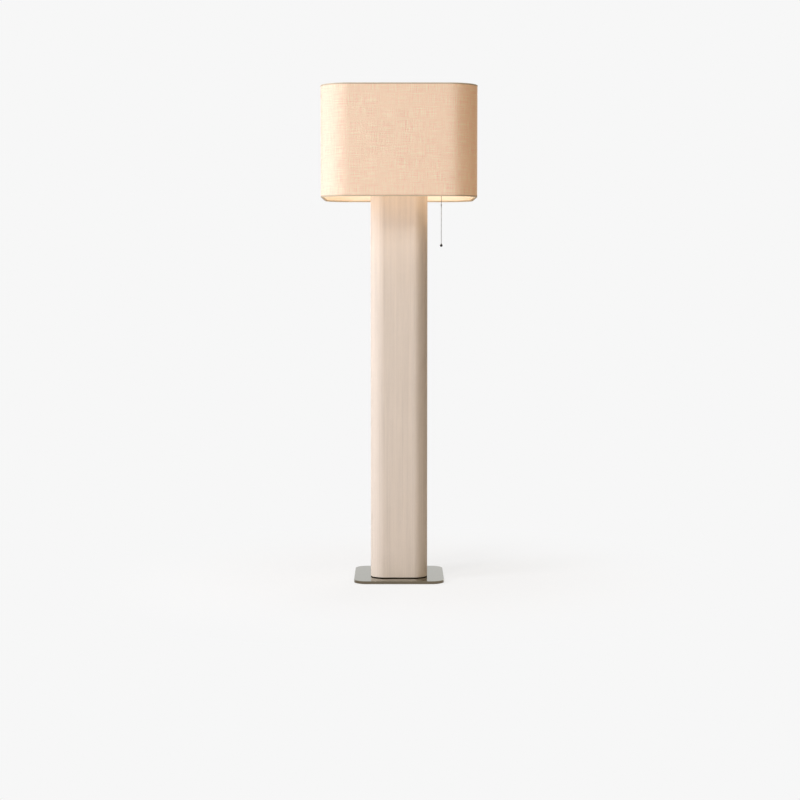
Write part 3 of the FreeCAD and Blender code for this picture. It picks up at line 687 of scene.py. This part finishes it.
def lathed(name, node, outline, material, body="stand", looped=False):
    """Turns an outline of (radius, height) round the upright middle of a node, and stands for it.

    A looped outline is a tube's section.  Any other one is closed at both ends.
    """
    low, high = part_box(node)
    centre_x, centre_y = (low[0] + high[0]) / 2, (low[1] + high[1]) / 2
    shape = bmesh.new()
    rings = []
    for radius, height in outline:
        ring = []
        for step in range(turned_steps):
            angle = 2 * math.pi * step / turned_steps
            ring.append(shape.verts.new((centre_x + radius * math.cos(angle),
                                         centre_y + radius * math.sin(angle), height)))
        rings.append(ring)
    pairs = list(zip(rings, rings[1:]))
    if looped:
        pairs.append((rings[-1], rings[0]))
    for near, far in pairs:
        for step in range(turned_steps):
            after = (step + 1) % turned_steps
            shape.faces.new((near[step], near[after], far[after], far[step]))
    if not looped:
        shape.faces.new(rings[0])
        shape.faces.new(rings[-1])
    mesh = bpy.data.meshes.new(name)
    shape.to_mesh(mesh)
    shape.free()
    piece = new_piece(name, mesh)
    mesh.materials.append(material)
    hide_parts(node)
    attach(piece, body)


def arc(radius, centre_height, low, high, steps, out=0.0):
    """Steps of (radius, height) on a round profile, between two angles in degrees from level.

    The profile's centre stands out by some distance from the axis.
    """
    outline = []
    for step in range(steps + 1):
        angle = math.radians(low + (high - low) * step / steps)
        outline.append((out + radius * math.cos(angle), centre_height + radius * math.sin(angle)))
    return outline


def make_finial():
    """A foot, a narrow neck and a ball."""
    low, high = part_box("finial")
    centre = high[2] - finial_ball
    foot = [(finial_foot, low[2]), (finial_foot, low[2] + finial_foot_height),
            (finial_neck, low[2] + finial_neck_start), (finial_neck, centre - finial_neck_drop)]
    ball = arc(finial_ball, centre, low=-50, high=86, steps=14)
    lathed("finial_knob", "finial", foot + ball, nickel)


def make_holder(hand):
    """The cap is a cone on the bent tube, and the shell a tube with a rolled lip."""
    low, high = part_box(hand + "_holder_cap")
    wide = (high[0] - low[0]) / 2
    bottom, top = low[2], high[2]
    shoulder = bottom + cap_shoulder
    curve = [(wide - cap_curve + cap_curve * math.sin(turn),
              shoulder - cap_curve_drop + cap_curve * (1 - math.cos(turn))) for turn in cap_curve_turns]
    outer = [(cap_collar, bottom), (cap_collar, bottom + cap_collar_height)] + curve + [(wide, top)]
    inner = [(wide - holder_wall, top), (wide - holder_wall, shoulder + cap_inner_shoulder),
             (cap_bore, bottom + cap_bore_height), (cap_bore, bottom)]
    lathed(hand + "_cap_turned", hand + "_holder_cap", outer + inner, nickel, looped=True)
    low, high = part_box(hand + "_holder_shell")
    bottom, top = low[2], high[2]
    lip = arc(lip_roll, top - lip_roll, low=-60, high=90, steps=6, out=wide - lip_roll / 2)
    outer = [(wide, bottom), (wide, top - 2 * lip_roll)] + lip
    inner = [(wide - holder_wall, top - lip_roll), (wide - holder_wall, bottom)]
    lathed(hand + "_shell_turned", hand + "_holder_shell", outer + inner, nickel,
           looped=True)


dress(nickel, "hub_cup", "hub_lid", "riser_tube", "stem_sleeve", "chain_guide")
dress(moulded, "lead_bush")
make_finial()
for hand in ("left", "right"):
    dress(nickel, hand + "_arm")
    dress(moulded, hand + "_holder_insulator", hand + "_holder_lead")
    dress(brass, hand + "_screw_shell", hand + "_centre_contact")
    make_holder(hand)

# ---- The bulbs ----
# Two round frosted bulbs with a warm light are screwed into the holders.  Four small unseen lights,
# set evenly inside the shade, are the light that they give to the film, the column's top and the spider.
bulb_radius = 0.030
bulb_neck = 0.0126
bulb_neck_height = 0.010
bulb_centre_height = 0.067
bulb_sweep_steps = 9
bulb_sweep_pull = 0.45
bulb_glow = (1.0, 0.78, 0.52)
warm_light = (1.0, 0.68, 0.40)
light_sides = (-0.19, 0.19)
light_height = 1.56
light_power = 0.42
light_softness = 0.04
bulb_metal = brushed_metal("bulb_cap_metal", (0.70, 0.70, 0.71), roughness=0.3)
bulb_glass = mottled("frosted_bulb", (0.92, 0.86, 0.76), roughness=0.35, size=60, depth=0.00001,
                     contrast=0.04, glow=bulb_glow, glow_strength=0.75)


def make_bulb(hand):
    """A straight neck swells in one sweep to the round globe."""
    node = hand + "_bulb_globe"
    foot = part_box(node)[0][2]
    centre = foot + bulb_centre_height
    belly = arc(bulb_radius, centre, low=-45, high=87, steps=20)
    start = Vector((bulb_neck, foot + bulb_neck_height))
    end = Vector(belly[0])
    pull = (end.y - start.y) * bulb_sweep_pull
    start_pull = start + Vector((0, pull))
    end_pull = end - Vector((1, 1)).normalized() * pull
    swell = []
    for step in range(bulb_sweep_steps):
        t = step / bulb_sweep_steps
        point = (start * (1 - t) ** 3 + start_pull * 3 * t * (1 - t) ** 2
                 + end_pull * 3 * t * t * (1 - t) + end * t ** 3)
        swell.append((point.x, point.y))
    lathed(hand + "_bulb_glass", node, [(bulb_neck, foot)] + swell + belly, bulb_glass)


def bulb_light(place):
    """A soft ball of warm light, which is seen neither itself nor in a reflection."""
    lamp = bpy.data.lights.new("bulb_light", "POINT")
    lamp.energy = light_power
    lamp.color = warm_light
    lamp.shadow_soft_size = light_softness
    obj = bpy.data.objects.new("bulb_light", lamp)
    obj.location = place
    obj.visible_camera = False
    obj.visible_glossy = False
    bpy.context.scene.collection.objects.link(obj)


for hand in ("left", "right"):
    make_bulb(hand)
    dress(bulb_metal, hand + "_bulb_cap")
for x in light_sides:
    for y in light_sides:
        bulb_light((x, y, light_height))

# ---- The pull switch ----
# A black moulded housing and its cover hold a white ratchet drum on an axle and a spring on the
# pull hook.  A pull brings the hook down, which turns the drum and presses the spring shorter.
spring_wire = 0.00035
spring_turns = 9.0
spring_steps = 24
wire_sides = 8
white_moulding = mottled("white_moulding", (0.8, 0.8, 0.78), roughness=0.4, size=500, depth=0.00003,
                         contrast=0.1)
chain_steel = brushed_metal("chain_steel", (0.20, 0.195, 0.185), roughness=0.3, fineness=900)


def round_wire(tree, curve, radius):
    """A round wire with closed ends, along a curve."""
    section = tree.nodes.new("GeometryNodeCurvePrimitiveCircle")
    section.inputs["Resolution"].default_value = wire_sides
    join(tree, radius, section.inputs["Radius"])
    wire = tree.nodes.new("GeometryNodeCurveToMesh")
    wire.inputs["Fill Caps"].default_value = True
    join(tree, curve, wire.inputs["Curve"])
    join(tree, section.outputs["Curve"], wire.inputs["Profile Curve"])
    return wire.outputs["Mesh"]


def real_mesh(tree, instances):
    """The instances as plain geometry, because the export drops instances."""
    real = tree.nodes.new("GeometryNodeRealizeInstances")
    join(tree, instances, real.inputs["Geometry"])
    return real.outputs["Geometry"]


def finished(tree, geometry, given, result):
    """The geometry in its metal goes out as the piece."""
    metal = tree.nodes.new("GeometryNodeSetMaterial")
    join(tree, geometry, metal.inputs["Geometry"])
    join(tree, given["Metal"], metal.inputs["Material"])
    join(tree, metal.outputs["Geometry"], result["Piece"])


def spring_tree():
    """A wire wound in an even helix, which climbs from its foot."""
    tree, given, result = new_group(
        "Wound spring", "GeometryNodeTree",
        {"Foot": "Geometry", "Radius": "Float", "Length": "Float", "Turns": "Float",
         "Wire radius": "Float", "Metal": "Material"},
        {"Piece": "Geometry"})
    helix = tree.nodes.new("GeometryNodeCurveSpiral")
    helix.inputs["Resolution"].default_value = spring_steps
    join(tree, given["Turns"], helix.inputs["Rotations"])
    join(tree, given["Radius"], helix.inputs["Start Radius"])
    join(tree, given["Radius"], helix.inputs["End Radius"])
    join(tree, given["Length"], helix.inputs["Height"])
    placed = tree.nodes.new("GeometryNodeInstanceOnPoints")
    join(tree, given["Foot"], placed.inputs["Points"])
    join(tree, round_wire(tree, helix.outputs["Curve"], given["Wire radius"]), placed.inputs["Instance"])
    finished(tree, real_mesh(tree, placed.outputs["Instances"]), given, result)
    return tree


def grown(name, points, edges, tree, values):
    """A plain mesh that a node tree grows on some points, with the tree's inputs by their names."""
    mesh = bpy.data.meshes.new(name + "_points")
    mesh.from_pydata(points, edges, [])
    piece = bpy.data.objects.new(name, mesh)
    bpy.context.scene.collection.objects.link(piece)
    grow = piece.modifiers.new("grow", "NODES")
    grow.node_group = tree
    for socket in tree.interface.items_tree:
        if socket.in_out == "INPUT" and socket.name in values:
            grow[socket.identifier] = values[socket.name]
    seen = piece.evaluated_get(bpy.context.evaluated_depsgraph_get())
    plain = bpy.data.meshes.new_from_object(seen)
    piece.modifiers.clear()
    piece.data = plain
    plain.name = name
    return piece


def make_return_spring():
    """The spring stands on the housing's floor and fills the height of its node."""
    low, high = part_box("return_spring")
    foot = ((low[0] + high[0]) / 2, (low[1] + high[1]) / 2, low[2] + spring_wire)
    values = {"Radius": (high[0] - low[0]) / 2 - spring_wire, "Length": high[2] - low[2] - 2 * spring_wire,
              "Turns": spring_turns, "Wire radius": spring_wire, "Metal": zinc}
    piece = grown("wound_return_spring", [foot], [], spring_tree(), values)
    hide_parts("return_spring")
    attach(piece, "stand")
    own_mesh(piece)


dress(moulded, "switch_housing", "switch_cover")
dress(white_moulding, "ratchet_drum")
dress(zinc, "cover_screws", "drum_axle")
dress(chain_steel, "pull_hook")
make_return_spring()

# ---- The pull chain ----
# Two stretches of fine steel bead chain hang from the hook, joined by a turned coupling with a groove.
# A small bell at the lower end holds a dark ball.
bead_radius = 0.0016
bead_pitch = 0.0043
wire_radius = 0.00045
coupling_end = 0.0008
coupling_core = 0.0009
coupling_roll = 0.0011
coupling_groove = ((0.0020, 0.0034), (0.0016, 0.0040), (0.0020, 0.0046))
bell_flare = ((0.0024, 0.0), (0.0023, 0.0006), (0.0018, 0.0018), (0.0013, 0.0032))
bell_top = 0.0009
ball_radius = 0.005
dark_ball = mottled("dark_ball", (0.012, 0.011, 0.010), roughness=0.45, size=500, depth=0.00002)


def chain_tree():
    """Beads at an even pitch on a line, strung on a wire."""
    tree, given, result = new_group(
        "Bead chain", "GeometryNodeTree",
        {"Line": "Geometry", "Bead radius": "Float", "Pitch": "Float", "Wire radius": "Float",
         "Metal": "Material"},
        {"Piece": "Geometry"})
    line = tree.nodes.new("GeometryNodeMeshToCurve")
    join(tree, given["Line"], line.inputs["Mesh"])
    spaced = tree.nodes.new("GeometryNodeResampleCurve")
    spaced.mode = "LENGTH"
    join(tree, line.outputs["Curve"], spaced.inputs["Curve"])
    join(tree, given["Pitch"], spaced.inputs["Length"])
    bead = tree.nodes.new("GeometryNodeMeshUVSphere")
    bead.inputs["Segments"].default_value = 12
    bead.inputs["Rings"].default_value = 8
    join(tree, given["Bead radius"], bead.inputs["Radius"])
    strung = tree.nodes.new("GeometryNodeInstanceOnPoints")
    join(tree, spaced.outputs["Curve"], strung.inputs["Points"])
    join(tree, bead.outputs["Mesh"], strung.inputs["Instance"])
    both = tree.nodes.new("GeometryNodeJoinGeometry")
    join(tree, strung.outputs["Instances"], both.inputs["Geometry"])
    join(tree, round_wire(tree, line.outputs["Curve"], given["Wire radius"]), both.inputs["Geometry"])
    smooth = tree.nodes.new("GeometryNodeSetShadeSmooth")
    join(tree, real_mesh(tree, both.outputs["Geometry"]), smooth.inputs["Geometry"])
    finished(tree, smooth.outputs["Geometry"], given, result)
    return tree


bead_chain = chain_tree()


def make_chain(name, node, body):
    """One straight stretch of chain, down the middle of its node."""
    low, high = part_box(node)
    x, y = (low[0] + high[0]) / 2, (low[1] + high[1]) / 2
    values = {"Bead radius": bead_radius, "Pitch": bead_pitch, "Wire radius": wire_radius,
              "Metal": chain_steel}
    piece = grown(name, [(x, y, high[2]), (x, y, low[2])], [(0, 1)], bead_chain, values)
    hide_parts(node)
    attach(piece, body)


def make_coupling():
    """A barrel with rolled ends and a groove round its middle."""
    low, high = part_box("chain_coupling")
    foot = arc(coupling_roll, low[2] + coupling_roll, low=-60, high=0, steps=4, out=coupling_core)
    groove = [(radius, low[2] + rise) for radius, rise in coupling_groove]
    head = arc(coupling_roll, high[2] - coupling_roll, low=0, high=60, steps=4, out=coupling_core)
    barrel = [(coupling_end, low[2])] + foot + groove + head + [(coupling_end, high[2])]
    lathed("coupling_barrel", "chain_coupling", barrel, chain_steel, "upper_chain")


def make_bell_and_ball():
    """The ball sits in the bell's mouth."""
    low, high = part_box("chain_bell")
    flare = [(radius, low[2] + rise) for radius, rise in bell_flare] + [(bell_top, high[2])]
    lathed("ball_bell", "chain_bell", flare, chain_steel, "lower_chain")
    mouth = bell_flare[0][0]
    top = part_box("pull_ball")[1][2]
    centre = top - math.sqrt(ball_radius ** 2 - mouth ** 2)
    ball = arc(ball_radius, centre, low=-85, high=61, steps=18)
    lathed("dark_pull_ball", "pull_ball", ball, dark_ball, "lower_chain")


make_chain("upper_bead_chain", "upper_chain", "upper_chain")
make_chain("lower_bead_chain", "lower_chain", "lower_chain")
make_coupling()
make_bell_and_ball()
